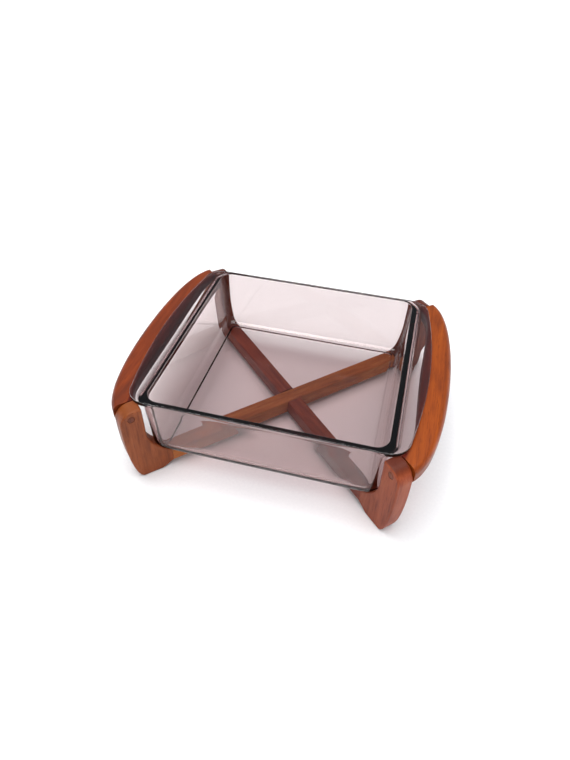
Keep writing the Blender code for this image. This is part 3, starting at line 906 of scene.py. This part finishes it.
def smoky_glass():
    """Soda-lime glass of IOR 1.52 with a mauve-brown absorption, and ripples 14 mm apart."""
    made, tree = start("pressed_amethyst_glass")
    place = add(tree, "TexCoord").outputs["Object"]
    ripple = add(tree, "TexNoise", {"Vector": place, "Scale": 1.0 / RIPPLE, "Detail": 1.0}).outputs["Fac"]
    bump = add(tree, "Bump", {"Height": ripple, "Strength": 0.25, "Distance": 0.15 * MM}).outputs[0]
    shader = add(tree, "BsdfPrincipled", {
        "Base Color": WHITE, "Roughness": 0.0, "IOR": 1.52, "Transmission Weight": 1.0, "Normal": bump,
    })
    path = add(tree, "LightPath")
    rays = {0: path.outputs["Is Shadow Ray"], 1: path.outputs["Is Diffuse Ray"]}
    lamp = add(tree, "Math", rays, operation="MAXIMUM")
    clear = add(tree, "BsdfTransparent", {"Color": (0.80, 0.76, 0.765, 1.0)})
    surface = add(tree, "MixShader", {0: lamp.outputs[0], 1: shader.outputs[0], 2: clear.outputs[0]})
    melt = add(tree, "VolumeAbsorption", {"Color": (0.45, 0.21, 0.20, 1.0), "Density": 96.0})
    add(tree, "OutputMaterial", {"Surface": surface.outputs[0], "Volume": melt.outputs[0]})
    return made


dish.data.materials.append(smoky_glass())
print("glass on", dish.name)

# %% [markdown]
# ## The floor
# The stand is shown on a plain white floor, large enough to run out of view.  One face with a paper material
# does for it.  It lies a tenth of a millimetre low, so that it doesn't share a plane with the soles.

# %% Floor
FLOOR_HALF = 4.0
floor_mesh = bpy.data.meshes.new("studio_floor")
floor_signs = ((-1, -1), (1, -1), (1, 1), (-1, 1))
floor_corners = [(x * FLOOR_HALF, y * FLOOR_HALF, 0.0) for x, y in floor_signs]
floor_mesh.from_pydata(floor_corners, [], [(0, 1, 2, 3)])
floor = bpy.data.objects.new("studio_floor", floor_mesh)
floor.location.z = -0.1 * MM
bpy.context.scene.collection.objects.link(floor)
paper, paper_tree = start("white_paper_floor")
paper_place = add(paper_tree, "TexCoord").outputs["Object"]
fibre = add(paper_tree, "TexNoise", {"Vector": paper_place, "Scale": 400.0, "Detail": 2.0}).outputs["Fac"]
paper_ramp = add(paper_tree, "ValToRGB", {"Fac": fibre})
stops(paper_ramp, (0.2, linear("EDEEF0")), (0.8, linear("F3F4F5")))
paper_shader = add(paper_tree, "BsdfPrincipled", {"Base Color": paper_ramp.outputs[0], "Roughness": 0.9})
add(paper_tree, "OutputMaterial", {"Surface": paper_shader.outputs[0]})
floor_mesh.materials.append(paper)
print("floor is", 2 * FLOOR_HALF, "m square")

# %% [markdown]
# ## The light
# A light tent is a world whose colour depends only on height, so a colour ramp over the direction's Z is
# enough.  It is bright overhead, and dim at mid height, so that glass and wood seen from above have dark, clear
# reflections.  It is strong enough to leave the floor white.  Two weak softboxes, high on the left and lower at
# the front right, give the light a little direction.

# %% Light
def soft_light(name, place, aim, size, watts, tint="FFFFFF"):
    """Square area light at place, facing aim."""
    lamp = bpy.data.lights.new(name, "AREA")
    lamp.shape = "SQUARE"
    lamp.size = size
    lamp.energy = watts
    lamp.color = linear(tint)[:3]
    thing = bpy.data.objects.new(name, lamp)
    thing.location = place
    thing.rotation_euler = (Vector(aim) - Vector(place)).to_track_quat("-Z", "Y").to_euler()
    bpy.context.scene.collection.objects.link(thing)
    return thing


def light_tent(strength):
    """World like a photographer's tent: bright overhead, dim at mid height, white along the horizon."""
    tent = bpy.data.worlds.new("light_tent")
    tent.use_nodes = True
    tree = tent.node_tree
    tree.nodes.clear()
    direction = add(tree, "TexCoord").outputs["Generated"]
    height = add(tree, "SeparateXYZ", {0: direction}).outputs["Z"]
    horizon, dim = linear("8A8B8D"), linear("404245")
    glow = add(tree, "ValToRGB", {"Fac": height})
    stops(glow, (0.18, horizon), (0.34, dim), (0.80, dim), (0.92, WHITE))
    light = add(tree, "Background", {"Color": glow.outputs[0], "Strength": strength})
    add(tree, "OutputWorld", {"Surface": light.outputs[0]})
    return tent


bpy.context.scene.world = light_tent(4.1)
soft_light("overhead_softbox", (-0.5, 0.1, 1.5), (0.0, 0.0, 0.0), 0.8, 6.0, "FFFDF8")
soft_light("front_fill", (0.7, -1.5, 0.9), (0.0, 0.0, 0.04), 0.8, 6.0)

# %% [markdown]
# ## The camera
# A moderately wide lens looks down from the front right.  Its axes are built from the yaw, the pitch and a
# slight roll, and go into the camera's matrix as columns.  The Standard view transform keeps the white floor
# white.

# %% Camera
FOCAL_LENGTH = 26.9053                                      # in millimetres, for a sensor 36 mm long
YAW, PITCH, ROLL = (math.radians(angle) for angle in (13.68, 42.27, 1.44))
STAND_OFF = np.array([92.5, -404.9, 419.6]) * MM
forward = np.array([-math.sin(YAW) * math.cos(PITCH), math.cos(YAW) * math.cos(PITCH), -math.sin(PITCH)])
level = np.array([math.cos(YAW), math.sin(YAW), 0.0])
upward = np.cross(level, forward)
camera_x = math.cos(ROLL) * level + math.sin(ROLL) * upward
camera_y = -math.sin(ROLL) * level + math.cos(ROLL) * upward
lens = bpy.data.cameras.new("camera")
lens.sensor_width = 36.0
lens.lens = FOCAL_LENGTH
lens.clip_start = 0.01
camera = bpy.data.objects.new("camera", lens)
pose = np.eye(4)
pose[:3, 0], pose[:3, 1], pose[:3, 2], pose[:3, 3] = camera_x, camera_y, -forward, STAND_OFF
camera.matrix_world = Matrix(pose.tolist())
bpy.context.scene.collection.objects.link(camera)
bpy.context.scene.camera = camera
bpy.context.scene.view_settings.view_transform = "Standard"
print(f"lens {lens.lens:.1f} mm, camera {STAND_OFF.round(3).tolist()}")
